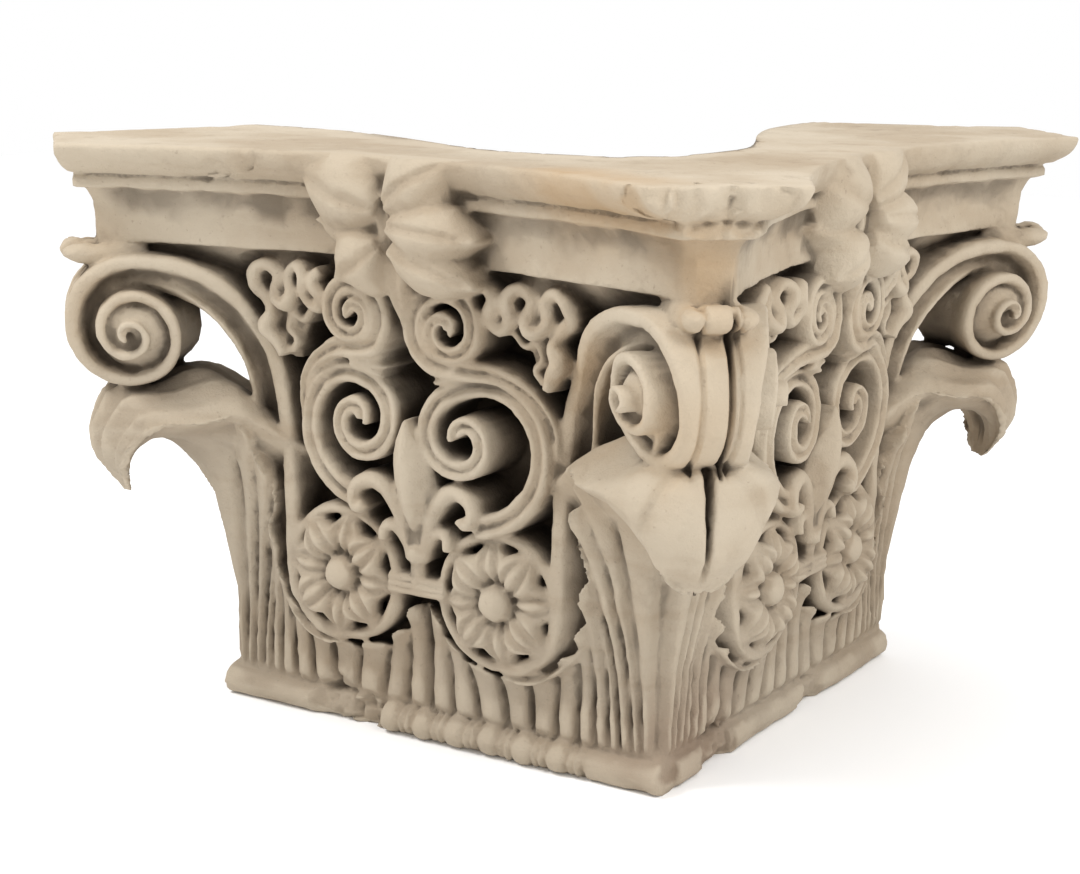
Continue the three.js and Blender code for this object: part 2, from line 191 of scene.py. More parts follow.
# %% [markdown]
# ## The block: abacus and bell
# The abacus is a slab with hollow sides and cut-off horns. Its edge is an ovolo over a fillet
# over a cavetto, with a thin cut between them that draws a dark line. It is lofted through the
# outlines at the heights where the moulding changes. Beneath it the bell is only a plain core, as
# nearly all of it is hidden by what stands in front.

# %% Abacus
MOULDING = [  # height, depth in the middle of a side, half-width and diagonal of the horn's end
    (1.70, 0.95, 0.02, 1.02), (1.78, 1.03, 0.04, 1.17), (1.85, 1.09, 0.05, 1.28),
    (1.86, 1.150, 0.060, 1.334), (1.93, 1.150, 0.060, 1.334), (2.00, 1.153, 0.063, 1.338),
    (2.04, 1.162, 0.075, 1.350), (2.064, 1.166, 0.090, 1.358), (2.070, 1.200, 0.125, 1.390),
    (2.108, 1.200, 0.125, 1.390), (2.112, 1.180, 0.115, 1.378), (2.122, 1.182, 0.120, 1.380),
    (2.128, 1.218, 0.160, 1.404), (2.15, 1.243, 0.205, 1.419), (2.175, 1.258, 0.240, 1.429),
    (2.20, 1.267, 0.26, 1.435), (2.222, 1.271, 0.27, 1.4375), (2.234, 1.270, 0.273, 1.4385),
    (2.242, 1.262, 0.268, 1.434),
]


def four_sides(side, z):
    """A ring at height z: one side of the plan, turned to all four."""
    ring = []
    for turn in range(4):
        c, s = math.cos(turn * math.pi / 2), math.sin(turn * math.pi / 2)
        ring.append(side @ np.array([[c, s], [-s, c]]))
    ring = np.vstack(ring)
    return np.column_stack([ring[:, 0], -ring[:, 1], np.full(len(ring), z)])


def abacus_outline(z, depth, end, diagonal, steps=36):
    """Hollow sides between horns whose cut-off ends are 2 x end wide."""
    corner = diagonal * math.sqrt(2)
    half, reach = (corner - end) / math.sqrt(2), (corner + end) / math.sqrt(2)
    u = np.linspace(-half, half, steps)
    return four_sides(np.column_stack([u, -(depth + (reach - depth) * (u / half) ** 2)]), z)


place(loft([abacus_outline(*row) for row in MOULDING]))
print("abacus:", len(MOULDING), "outlines")

# %% Bell behind the ornament
BELL = [  # height, depth, corner cut
    (-0.05, 0.985, 0.02), (0.13, 0.985, 0.02), (0.3, 0.93, 0.1), (0.9, 0.88, 0.12), (1.1, 0.88, 0.3),
    (1.4, 0.885, 0.32), (1.65, 0.92, 0.32), (1.8, 0.99, 0.32), (1.88, 1.06, 0.32),
]


def bell_outline(z, depth, cut):
    return four_sides(np.array([(cut - depth, -depth), (depth - cut, -depth)]), z)


place(loft([bell_outline(*row) for row in BELL]))
print("bell:", len(BELL), "outlines")

# %% [markdown]
# ## The fluted shell
# A sheath of leaves wraps the foot. Its flutes start upright on the astragal. In the middle they
# stop at a scalloped rim round the flower rings, and towards the corners they climb and lean
# inwards. A sheet is laid on two families of lines, one along the foot and one up each flute,
# and the relief is added as a height on that sheet.

# %% Where the flutes start and where they stop
FOOT = [0.0, 0.11, 0.23, 0.35, 0.46, 0.56, 0.65, 0.725, 0.785, 0.835, 0.88, 0.92, 0.955]
RIM = [(0.02, 0.57), (0.085, 0.45), (0.18, 0.37), (0.32, 0.335), (0.45, 0.345), (0.57, 0.40),
       (0.66, 0.49), (0.715, 0.62), (0.71, 0.78), (0.715, 0.94), (0.72, 1.08), (0.80, 1.18),
       (0.955, 1.20)]
SWELL = [(0.0, 1.0), (0.43, 1.002), (0.555, 1.017), (0.72, 1.039), (0.85, 1.06), (0.95, 1.086),
         (1.03, 1.115), (1.3, 1.17)]     # height, and how far out the shell stands there


def swell(z):
    heights, depths = zip(*SWELL)
    return np.interp(z, heights, depths)


# %% The sheet, half a face wide
FLUTES = len(FOOT) - 1
FLUTE_COLUMNS, FLUTE_ROWS = 13, 42   # columns for each flute, and rows up the sheet
SHELL_FOOT = 0.05                    # height where the sheet starts, inside the astragal
GROOVE_DEPTH, GROOVE_HALF = 0.045, 0.011
FLUTE_ROUND = 0.022                  # most that a flute bulges
CORNER_ROOM = 0.055                  # kept free for the next face's sheet


def scalloped(b, rim_u, rim_z):
    """The rim pushed in and out by a lobe on each flute, or on each pair where it is upright."""
    upright_rim = step(6.6, 7.6, b)
    narrow, wide = (np.abs(np.sin(np.pi * part)) for part in (b - np.floor(b), b / 2))
    scallop = (1 - upright_rim) * narrow + upright_rim * wide
    run_u, run_z = np.gradient(rim_u), np.gradient(rim_z)
    reach = (0.045 + 0.02 * upright_rim) * (np.sqrt(scallop) - 0.55) / np.hypot(run_u, run_z)
    return rim_u - run_z * reach, rim_z + run_u * reach


def shell_sheet():
    b = np.linspace(0, FLUTES, FLUTES * FLUTE_COLUMNS + 1)
    foot, rim_u, rim_z = (ease(values, b) for values in (FOOT, *zip(*RIM)))
    rim_u, rim_z = scalloped(b, rim_u, rim_z)
    t = np.linspace(0, 1, FLUTE_ROWS)[:, None]
    u = foot + (rim_u - foot) * (0.3 * t + 0.7 * t ** 2.4)
    z = SHELL_FOOT + (rim_z - SHELL_FOOT) * t
    u = np.minimum(u + (swell(z) - 1.0) * step(FLUTES - 1.5, FLUTES, b), swell(z) - CORNER_ROOM)
    up_u, up_z = np.gradient(u, axis=0), np.gradient(z, axis=0)
    turned = np.gradient(u, b, axis=1) * up_z - np.gradient(z, b, axis=1) * up_u
    width = np.abs(turned) / np.hypot(up_u, up_z)
    inside = b - np.floor(b)
    lobe = np.sin(np.pi * inside)
    groove = np.exp(-(np.minimum(inside, 1 - inside) * width / GROOVE_HALF) ** 2)
    fade = step(0.0, 0.06, z - 0.105)
    lip = 0.016 * np.exp(-((1 - t) * (rim_z - SHELL_FOOT) / 0.022) ** 2) * lobe
    rounding = np.minimum(FLUTE_ROUND, 0.2 * width) * lobe
    relief = (rounding - GROOVE_DEPTH * groove) * fade - 0.02 * (1 - fade)
    return np.stack([u, swell(z) + relief + lip + 0.03 * t ** 6, z], axis=-1)


SHELL_BACK = 0.86
sheet = shell_sheet()
low_back = sheet[0] * [1, 0, 1] + [0, SHELL_BACK, 0]
top_back = sheet[-1] * [1, 0, 1] + [0, SHELL_BACK, -0.04]
right_half = np.concatenate([[low_back], sheet, [top_back]])
left_half = right_half[:, :0:-1] * [-1, 1, 1]
whole = np.concatenate([left_half, right_half], axis=1)
place(loft(np.swapaxes(whole, 0, 1)), sides=(-1, 0, 1, 2))
print("shell:", 2 * FLUTES, "flutes on each face")

# %% [markdown]
# ## Astragal
# A roll at the foot, cut into long beads with pairs of thin reels between them. On the front
# most of it survives; the rest of the foot has lost it and shows a plain worn band.

# %% Bead and reel
BAND = 0.13                          # height of the astragal
ROLL_DEPTH = 0.985                   # of the middle of the roll
BEAD = [  # place within one pitch, and radius: a long bead, then two thin reels
    (0, 0.042), (0.04, 0.055), (0.12, 0.066), (0.3, 0.069), (0.46, 0.066), (0.54, 0.055),
    (0.58, 0.043), (0.62, 0.055), (0.68, 0.067), (0.74, 0.055), (0.78, 0.043), (0.82, 0.055),
    (0.88, 0.067), (0.94, 0.055),
]


def roll(start, stop, pitches):
    pitch = (stop - start) / pitches
    stations = [(start + (i + at) * pitch, r) for i in range(pitches) for at, r in BEAD]
    angle = np.linspace(0, 2 * math.pi, 20, endpoint=False)
    rings = []
    for u, r in [*stations, (stop, BEAD[0][1])]:
        rings.append(np.column_stack([np.full(20, u) + 0.008 * np.sin(angle), ROLL_DEPTH + r * np.cos(angle),
                                      BAND / 2 + r * 0.97 * np.sin(angle)]))
    return loft(rings)


place(roll(-0.22, 0.69, 6))
for side, start, stop in ((0, 0.70, 1.0), (0, -1.0, -0.24), (1, -0.9, 0.95)):
    plain = along([(start, 0.06), ((start + stop) / 2, 0.058), (stop, 0.06)], 12)
    place(sweep(plain, lambda t, p: strap(ROUNDED, 0.12, 1.035, 0.9)), sides=(side,))
print("astragal: 6 beads on the front, 3 plain bands")

# %% [markdown]
# ## Rings and flowers
# Two rings stand side by side near the foot, each a thin hoop with a flower sunk in it. A petal is
# a leaf-shaped sheet: broad in the middle, pointed, with two grooves, its rim higher than its root.

# %% Rings
RING = (0.352, 0.632)
RING_RADIUS = 0.247                  # of the middle of the hoop


def hoop():
    line = scroll(RING, 0, [RING_RADIUS] * 5, 1, 16)[:-1]
    return sweep(line, lambda t, p: strap(ROUNDED, 0.052, 1.09, 0.84), closed=True)


place(hoop(), sides=(0, 1), mirror=True)

# %% Petals
PETAL_WIDTH = [0.3, 0.62, 0.9, 1.0, 0.84, 0.46, 0.04]          # from root to tip
PETAL_RISE = [-0.04, 0.0, 0.03, 0.042, 0.034, 0.01, -0.02]
PETAL_CUT = 0.034                    # depth of its grooves


def petal(angle, length, width, root, front, grooves):
    """One petal of the flower in the ring. grooves says how far from the middle they run."""
    ways = np.array([math.cos(angle), math.sin(angle)])
    across = np.array([-ways[1], ways[0]])
    v = np.linspace(-1, 1, 17)
    rings = []
    for t in np.linspace(0, 1, 16):
        half, lift = (float(ease(values, np.array([t * 6]))[0]) for values in (PETAL_WIDTH, PETAL_RISE))
        cut = PETAL_CUT * np.exp(-((np.abs(v) - grooves) / 0.16) ** 2) * step(1.0, 0.8, t)
        middle = ways * (root + (length - root) * t)
        flat = np.outer(np.ones(17), middle) + np.outer(v * half * width / 2, across)
        depth = front + lift - 0.042 * v ** 4 - cut
        top = np.column_stack([RING[0] + flat[:, 0], depth, RING[1] + flat[:, 1]])
        under = np.column_stack([top[::-1, 0], np.full(17, front - 0.07), top[::-1, 2]])
        rings.append(np.vstack([top, under]))
    return loft(rings)


# %% Flowers
PETALS = 8                           # in front, with as many narrow ones between them
BOSS = [(0.11, 0.86), (0.072, 1.04), (0.07, 1.085), (0.066, 1.108), (0.054, 1.126), (0.034, 1.138),
        (0.012, 1.142)]              # radius and depth


def flower():
    forms = []
    for i in range(PETALS):
        turn = (i + 0.15) * 2 * math.pi / PETALS
        outward = 1 + 0.06 * math.cos(turn)
        forms.append(petal(turn, 0.25 * outward, 0.172, 0.045, 1.086 + 0.02 * (i % 2), grooves=0.36))
        forms.append(petal(turn + math.pi / PETALS, 0.225, 0.10, 0.06, 1.01, grooves=0.0))
    angle = np.linspace(0, 2 * math.pi, 24, endpoint=False)
    forms.append(loft([np.column_stack([RING[0] + r * np.cos(angle), np.full(24, depth),
                                        RING[1] + r * np.sin(angle)]) for r, depth in BOSS]))
    return forms


for form in flower():
    place(form, sides=(0, 1), mirror=True)
print("flowers: 4, each with", 2 * PETALS, "petals and a boss")

# %% [markdown]
# ## Lily, tie and scrolls
# Between the rings rises a lily: a bud, two pairs of curled leaves and a collar, tied to both rings
# by three cords. Beside it two large scrolls turn in, and above them two small ones. Each scroll
# is a strap with a ribbed edge that stands clear of the bell, so its sides show.

# %% Tie and lily
CORDS = (0.612, 0.637, 0.662)        # heights of the three cords of the tie
for height in CORDS:
    place(sweep([(-0.13, height), (-0.05, height - 0.002), (0.05, height - 0.002), (0.13, height)],
                lambda t, p: strap(ROUNDED, 0.03, 1.105, 0.85)), sides=(0, 1))


def upright(stations, ridge=0.6, back=0.85):
    """A tapering upright form with a soft ridge. Stations are (z, half-width, front)."""
    v = np.linspace(-1, 1, 13)
    rings = []
    for z, half, front in stations:
        top = np.column_stack([v * half, front - ridge * half * np.abs(v) ** 1.6, np.full(13, z)])
        rings.append(np.vstack([top, top[::-1] * [1, 0, 1] + [0, back, 0]]))
    return loft(rings)


STEM = [(0.60, 0.034, 1.10), (0.73, 0.03, 1.105), (0.738, 0.052, 1.125), (0.79, 0.058, 1.13),
        (0.797, 0.034, 1.11), (0.86, 0.036, 1.11)]      # with the collar halfway up
BUD = along([(0.83, 0.02, 1.10), (0.90, 0.055, 1.14), (1.0, 0.088, 1.175), (1.09, 0.092, 1.195),
             (1.18, 0.06, 1.20), (1.24, 0.028, 1.19), (1.285, 0.004, 1.17)], 22)
LARGE_CURL = along([(0.035, 0.76), (0.06, 0.88), (0.11, 0.98), (0.18, 1.025), (0.25, 1.0),
                    (0.27, 0.945), (0.243, 0.91), (0.215, 0.935)], 34)
SMALL_CURL = along([(0.03, 0.74), (0.05, 0.80), (0.095, 0.855), (0.14, 0.85), (0.15, 0.80)], 18)


def large_curl_section(t, point):
    return strap(ROUNDED, 0.045 + 0.035 * math.sin(math.pi * t), 1.11 + 0.05 * t, 0.85)


def small_curl_section(t, point):
    return strap(ROUNDED, 0.05, 1.105 + 0.02 * t, 0.85)


place(upright(STEM), sides=(0, 1))
place(upright(BUD, ridge=0.95), sides=(0, 1))
place(sweep(LARGE_CURL, large_curl_section), sides=(0, 1), mirror=True)
place(sweep(SMALL_CURL, small_curl_section), sides=(0, 1), mirror=True)
print("lily: stem, bud and 4 curls on each face")

# %% Large scrolls, the left one turning in a little less
LARGE = scroll((0.235, 1.238), -84, [0.335, 0.315, 0.178, 0.165, 0.118, 0.076, 0.046, 0.024], 1)
LARGE_LEFT = scroll((0.235, 1.255), -84, [0.31, 0.23, 0.165, 0.14, 0.12, 0.076, 0.046, 0.024], 1)


def large_section(t, point):
    return strap(RIBBED, 0.092 - 0.028 * t, 1.13 + 0.035 * t, 0.84)


place(sweep(LARGE, large_section), sides=(0, 1))
place(sweep(LARGE_LEFT * [-1, 1], large_section), sides=(0, 1))

# %% Small scrolls and the tendrils that carry them
SMALL = scroll((0.195, 1.637), -128, [0.14, 0.138, 0.13, 0.108, 0.075, 0.05, 0.03, 0.012], -1)
SMALL_LEFT = scroll((0.215, 1.655), -128, [0.13, 0.12, 0.11, 0.09, 0.065, 0.045, 0.028, 0.012], -1)
TENDRIL = [(0.6, 1.2), (0.585, 1.33), (0.50, 1.43), (0.38, 1.485), (0.25, 1.495), (0.15, 1.505)]
TENDRIL_LEFT = [(0.5, 1.2), (0.51, 1.33), (0.46, 1.43), (0.36, 1.5), (0.27, 1.53), (0.18, 1.535)]


def small_section(t, point):
    width = 0.055 + 0.05 * step(0.1, 0.4, t) - 0.055 * t * t
    return strap(RIBBED, width, 1.11 + 0.10 * step(0.0, 0.45, t), 0.86)


for tendril, turns, hand in ((TENDRIL, SMALL, 1), (TENDRIL_LEFT, SMALL_LEFT, -1)):
    line = along(np.vstack([along(tendril, 26)[:-1:4], turns[::3]]), 100) * [hand, 1]
    place(sweep(line, small_section), sides=(0, 1))

# %% Three small leaves where each tendril leaves the large scroll
for lean, length in ((-0.55, 0.085), (-0.1, 0.10), (0.35, 0.085)):
    tip = (0.19 - length * math.cos(lean), 1.475 + length * math.sin(lean))
    blade = along([(0.23, 1.485), (0.17, 1.478 + 0.05 * lean), tip], 10)
    place(sweep(blade, lambda t, p: strap(ROUNDED, 0.07 * (1.05 - t) + 0.012, 1.19 - 0.03 * t, 0.9)),
          sides=(0, 1), mirror=True)
print("scrolls: 4 large, 4 small")

# %% [markdown]
# ## Curled acanthus leaves
# Under the abacus, between the small scrolls and the horns, hang crisp leaves whose edges curl like
# frills. A frill is one thin strap that winds along the leaf's edge in open loops, cut deep, with a
# plainer body behind it.

# %% Frills
FRILL = along([(0.365, 1.80), (0.40, 1.76), (0.375, 1.70), (0.41, 1.655), (0.455, 1.70), (0.445, 1.77),
               (0.49, 1.805), (0.54, 1.765), (0.52, 1.70), (0.55, 1.655), (0.60, 1.69), (0.59, 1.76),
               (0.635, 1.80), (0.685, 1.775), (0.70, 1.715), (0.66, 1.68), (0.625, 1.62), (0.65, 1.56),
               (0.61, 1.51), (0.585, 1.455)], 90)
FRILL_BACK = along([(0.44, 1.66), (0.49, 1.60), (0.54, 1.62), (0.565, 1.56), (0.53, 1.52), (0.56, 1.47)], 26)
LEAF_BODY = [(1.44, 0.02, 1.07), (1.52, 0.05, 1.10), (1.62, 0.09, 1.12), (1.72, 0.125, 1.135),
             (1.84, 0.15, 1.14)]


def frill_section(t, point):
    front = 1.205 - 0.03 * t + 0.016 * math.sin(30 * t)
    return strap(ROUNDED, 0.052 + 0.02 * abs(math.sin(19 * t)), front, 0.86)


place(sweep(FRILL, frill_section), sides=(0, 1), mirror=True)
place(sweep(FRILL_BACK, lambda t, p: strap(ROUNDED, 0.04, 1.15 - 0.02 * t, 0.86)), sides=(0, 1), mirror=True)
body_vertices, body_faces = upright(along(LEAF_BODY, 10), ridge=0.3)
place((body_vertices + [0.57, 0, 0], body_faces), sides=(0, 1), mirror=True)
print("frills: 4, on leaf bodies of", len(body_faces), "faces")

# %% [markdown]
# ## Stalks and horns
# From beside each ring a grooved stalk climbs, bends outwards and rolls up under the horn. The same
# strap is the stalk, the arch and the scroll. Its sheet is flat on the face below, and above it
# turns thirty degrees outwards, so the scrolls of neighbouring faces meet on the diagonal.

# %% The turned sheet that stalk and scroll lie on
TURN = math.radians(30)
HORN_AT = (1.12, 1.33)               # u and depth where q, the distance along the sheet, is nought
SHEET_Q = np.linspace(-1.2, 0.6, 721)
sheet_turn = TURN * step(-0.58, -0.38, SHEET_Q)
q_step = SHEET_Q[1] - SHEET_Q[0]
sheet_u = np.cumsum(np.cos(sheet_turn)) * q_step
sheet_d = np.cumsum(np.sin(sheet_turn)) * q_step
sheet_u += HORN_AT[0] - np.interp(0, SHEET_Q, sheet_u)
sheet_d += HORN_AT[1] - np.interp(0, SHEET_Q, sheet_d)


def on_sheet(q, z, lift):
    """(u, depth, z) of a point on the sheet. The sheet leans out a little with height."""
    turn = np.interp(q, SHEET_Q, sheet_turn)
    out = lift + (0.045 + 0.145 * (z - 1.56)) * turn / TURN
    u = np.interp(q, SHEET_Q, sheet_u) - out * np.sin(turn)
    depth = np.interp(q, SHEET_Q, sheet_d) + out * np.cos(turn)
    return np.column_stack([u, depth, z])


# %% The line of stalk, arch and scroll
VOLUTE = (0.02, 1.52)                # its eye, as q and height
VOLUTE_RADII = [0.298, 0.266, 0.215, 0.185, 0.165, 0.132, 0.098, 0.078, 0.058, 0.036, 0.02]
STALK_EDGE = [(-0.81, 0.378), (-0.707, 0.412), (-0.63, 0.51), (-0.609, 0.63), (-0.61, 0.8),
              (-0.604, 1.0), (-0.589, 1.2), (-0.552, 1.42), (-0.473, 1.585), (-0.341, 1.725),
              (-0.17, 1.805)]
STALK_WIDTH = ([0, 0.06, 0.13, 0.2, 0.6, 0.82, 1], [0.04, 0.08, 0.13, 0.16, 0.165, 0.16, 0.14])
coil = scroll(VOLUTE, 90, VOLUTE_RADII, -1, 12)
stem = along([*STALK_EDGE, coil[0], coil[4]], 80)[:-6]
edge = np.vstack([stem, coil])
up_stem = np.linspace(0, 1, len(stem))
turned = np.linspace(0, len(VOLUTE_RADII) - 1, len(coil))
coil_width = ease(VOLUTE_RADII, turned) - ease([*VOLUTE_RADII, 0.012, 0.008, 0.005, 0.003], turned + 4)
widths = np.concatenate([np.interp(up_stem, *STALK_WIDTH), np.maximum(coil_width, 0.014)])
is_coil = np.concatenate([step(0.76, 1.0, up_stem), np.ones(len(coil))])
rise = np.concatenate([np.zeros(len(stem)), 0.118 * step(0.0, 1.0, turned / turned[-1]) ** 0.8])

# %% One strap for all three
# across as a part of the width, and how far below the front
LIP = np.array([(0, -0.03), (0.03, -0.008), (0.12, 0), (0.3, 0), (0.38, -0.006), (0.44, -0.04),
                (0.52, -0.068), (0.66, -0.076), (0.78, -0.064)])
INNER_LIP = np.array([(0.86, -0.022), (0.93, -0.016), (1.0, -0.035)])
CHANNEL_END = np.array([(0.86, -0.066), (0.95, -0.084), (1.06, -0.1)])
STALK_THICK = 0.27
SHORT_FROM = len(stem) - 26          # section where the hidden sides' strap starts


def stalk_and_volute(first):
    """The strap from its section number first to the eye, as thick as the way to the diagonal."""
    run = np.gradient(edge, axis=0)
    run /= np.linalg.norm(run, axis=1)[:, None]
    inward = np.column_stack([run[:, 1], -run[:, 0]])
    rings = []
    for i in range(first, len(edge)):
        wide, mixed = widths[i], is_coil[i]
        rows = np.vstack([LIP, INNER_LIP * (1 - mixed) + CHANNEL_END * mixed])
        a = np.minimum(rows[:, 0] * wide, max(wide * 1.04, 0.014))
        q = edge[i, 0] + inward[i, 0] * a
        z = edge[i, 1] + inward[i, 1] * a
        front = on_sheet(q, z, rise[i] + rows[:, 1] * min(1.0, wide / 0.12))
        skew = step(0.0, 1.0, mixed)
        way = np.array([0.7071 * skew, -1 + 0.2929 * skew, 0])
        room, room_inside = (abs(front[end, 1] - front[end, 0]) / math.sqrt(2) + 0.004 for end in (0, -1))
        thick = STALK_THICK * (1 - mixed) + room * mixed
        tail = [front[0] + way * thick, front[-1] + way * (thick if mixed < 0.5 else room_inside)]
        rings.append(np.vstack([front[::-1], tail]))
    return loft(rings)


# %% The drum behind the eye, and all of it in place
DRUM = ((0.05, 0.05), (0.04, 0.085), (-0.04, 0.15), (-0.3, 0.2))    # lift off the sheet, radius


def drum():
    """Solid roll behind the eye, back to the diagonal."""
    angle = np.linspace(0, 2 * math.pi, 28, endpoint=False)
    return loft([on_sheet(VOLUTE[0] + radius * np.cos(angle), VOLUTE[1] + radius * np.sin(angle), lift)
                 for lift, radius in DRUM])


place(stalk_and_volute(0), sides=(0, 1), mirror=True)
place(drum(), sides=(0, 1), mirror=True)
# the hidden sides carry the scroll only: right end of the left side, left end of the back
short, short_faces = stalk_and_volute(SHORT_FROM)
place((short, short_faces), sides=(-1,))
place((short * [-1, 1, 1], short_faces), sides=(2,))
print("stalk strap:", len(edge), "sections, scroll turns", (len(VOLUTE_RADII) - 1) / 4)

# %% [markdown]
# ## Corner leaves
# A broad leaf climbs each corner, swells under the scroll and hangs its tip outwards. It is lofted
# along the diagonal: every section has a midrib, edges that fall back, and soft ribs between. The
# leaf on the front corner has flat facets instead, as if its ribs were cut but never rounded.

# %% Leaf
LEAF = [  # outer s and z, inner s and z, half-width across the diagonal, fold; s runs along it
    (0.93, 0.45, 0.8, 0.50, 0.06, 1.0), (0.965, 0.62, 0.8, 0.70, 0.10, 1.0),
    (1.0, 0.76, 0.8, 0.85, 0.15, 1.0), (1.045, 0.87, 0.8, 0.98, 0.23, 0.98),
    (1.088, 0.96, 0.86, 1.08, 0.30, 0.92), (1.13, 1.03, 0.93, 1.18, 0.345, 0.82),
    (1.17, 1.07, 1.09, 1.36, 0.345, 0.68), (1.20, 1.083, 1.235, 1.31, 0.33, 0.55),
    (1.235, 1.078, 1.335, 1.30, 0.30, 0.45), (1.262, 1.05, 1.368, 1.225, 0.275, 0.4),
    (1.276, 1.005, 1.386, 1.13, 0.24, 0.36), (1.275, 0.95, 1.378, 1.035, 0.19, 0.32),
    (1.266, 0.895, 1.34, 0.955, 0.12, 0.3), (1.268, 0.866, 1.3, 0.885, 0.05, 0.3),
]
FRONT_WIDTH = [1, 1, 1, 1, 1, 1, 1.05, 1.03, 0.98, 0.93, 0.9, 0.9, 0.95, 0.9]   # part of the above
SLANT = 0.7071                       # cosine of 45 degrees


def ribbed_relief(k, v):
    """Soft ribs and a shallow midrib. k runs from root to tip, v from edge to edge."""
    ribs = 0.011 * (np.cos(v * 3.5 * 2 * math.pi) - 1) * step(0.25, 0.5, k)
    return ribs, -0.016 * np.exp(-(v / 0.06) ** 2) * step(0.3, 0.5, k)


def faceted_relief(k, v):
    """Flat facets that meet on a line like a chevron, and a deep midrib."""
    facets = np.maximum(0.036 - 0.3 * np.abs(k - 0.64 - 0.16 * np.abs(v)), -0.02)
    fold_line = np.exp(-((k - 0.70 - 0.13 * np.abs(v)) / 0.011) ** 2)
    facets = (facets - 0.013 * fold_line) * step(0.35, 0.5, k)
    return facets, -0.06 * np.exp(-(v / 0.045) ** 2) * step(0.3, 0.5, k)


def corner_leaf(rows, relief, stations=46, across=29):
    v = np.linspace(-1, 1, across)
    rings = []
    for k, (out_s, out_z, in_s, in_z, half, fold) in enumerate(along(rows, stations)):
        k /= stations - 1
        t = v * half * (1 + 0.06 * np.sin(k * 20) * step(0.3, 0.5, k))
        mixed = np.abs(v) ** 2.4 * 0.5
        wave, midrib = relief(k, v)
        fall = np.abs(t) * fold * 0.707
        # the skin towards the sky first, then back along the one below
        sky = (in_s + (out_s - in_s) * mixed + wave + midrib - fall,
               in_z + (out_z - in_z) * mixed + (wave + midrib) * 0.6, t)
        below = (out_s + (in_s - out_s) * mixed - fall - wave * 0.6, out_z + (in_z - out_z) * mixed, t)
        ring = [np.column_stack([s_row + t_row * SLANT, s_row - t_row * SLANT, z_row])
                for s_row, z_row, t_row in (sky, [row[::-1] for row in below])]
        rings.append(np.vstack(ring))
    return loft(rings)


place(corner_leaf(LEAF, ribbed_relief), sides=(-1, 1))
front_rows = [(*row[:4], row[4] * part, row[5]) for row, part in zip(LEAF, FRONT_WIDTH)]
place(corner_leaf(front_rows, faceted_relief, stations=130, across=65), sides=(0,))
print("corner leaves: 3, with", len(LEAF), "rows each")

# %% Curled tips that lap over the scrolls under each horn
TIP = along([(1.20, 1.835), (1.28, 1.815), (1.345, 1.808), (1.392, 1.828), (1.402, 1.862)], 20)
TIP_HALF_WIDTH, TIP_HALF_THICK = 0.125, 0.046


def horn_tip():
    run = np.gradient(TIP, axis=0)
    run /= np.linalg.norm(run, axis=1)[:, None]
    angle = np.linspace(0, 2 * math.pi, 16, endpoint=False)
    rings = []
    for i, ((s, z), (ds, dz)) in enumerate(zip(TIP, run)):
        part = 1 - 0.6 * step(0.85, 1.0, i / (len(TIP) - 1))
        across = TIP_HALF_WIDTH * part * np.sign(np.cos(angle)) * np.abs(np.cos(angle)) ** 0.5
        up = TIP_HALF_THICK * part * np.sin(angle)
        out = s - up * dz
        rings.append(np.column_stack([out + across * SLANT, out - across * SLANT, z + up * ds]))
    return loft(rings)


place(horn_tip(), sides=(-1, 0, 1))
print("horn tips: 3")

# %% [markdown]
# ## Fleurons
# A large flower sits on the middle of each side of the abacus. Its near half keeps three cupped,
# overlapping petals; the other half has weathered to a soft lump. A pointed leaf hangs below it.

# %% Cupped petals
CUP_WIDTH = [0.45, 0.85, 1.0, 0.92, 0.62, 0.08]      # from base to tip
CUP_THICK = 0.22


def cup(base, tip, width, front, swelling=0.05):
    """A cupped petal with a fold down it, from base to tip, both (u, z)."""
    base, tip = np.array(base), np.array(tip)
    way = tip - base
    length = np.linalg.norm(way)
    way /= length
    across = np.array([-way[1], way[0]])
    v = np.linspace(-1, 1, 17)
    rings = []
    for t in np.linspace(0, 1, 18):
        half = width / 2 * float(ease(CUP_WIDTH, np.array([t * 5]))[0])
        lift = front + swelling * math.sin(math.pi * min(1, t * 1.1)) - 0.02 * t
        depth = lift - 0.10 * np.abs(v) ** 2.2 - 0.02 * np.exp(-((v - 0.1) / 0.12) ** 2)
        flat = base + way * length * t + np.outer(v * half, across)
        top = np.column_stack([flat[:, 0], depth, flat[:, 1]])
        rings.append(np.vstack([top, top[::-1] * [1, 0, 1] + [0, front - CUP_THICK, 0]]))
    return loft(rings)


# %% The flower
SOUND = [  # base, tip, width, front
    ((0.0, 2.07), (0.28, 2.24), 0.30, 1.31), ((0.03, 2.0), (0.39, 1.97), 0.24, 1.335),
    ((0.02, 1.92), (0.38, 1.80), 0.22, 1.31),
]
WORN = [
    ((-0.04, 2.06), (-0.40, 2.18), 0.34, 1.30), ((-0.05, 1.99), (-0.36, 1.99), 0.24, 1.25),
    ((-0.04, 1.93), (-0.24, 1.79), 0.30, 1.29),
]
HANGING_LEAF = ((0.0, 1.93), (0.02, 1.63), 0.17, 1.235, 0.035)
HEART = ((-0.05, 2.14), (0.0, 1.84), 0.16, 1.25, 0.03)
for petal_of_side in [*SOUND, *WORN, HANGING_LEAF, HEART]:
    place(cup(*petal_of_side), sides=(0, 1))
print("fleurons: 2, each with", len(SOUND) + len(WORN), "petals, a heart and a hanging leaf")

# %% [markdown]
# ## Fusing the forms into one skin
# The forms overlap like clay rolls pressed together. A voxel remesh walks a fine grid through all
# of them and keeps only the outer surface, so there are no inner walls, and the joints soften as
# they do in stone. Booleans between hundreds of forms would keep sharper creases but are fragile.

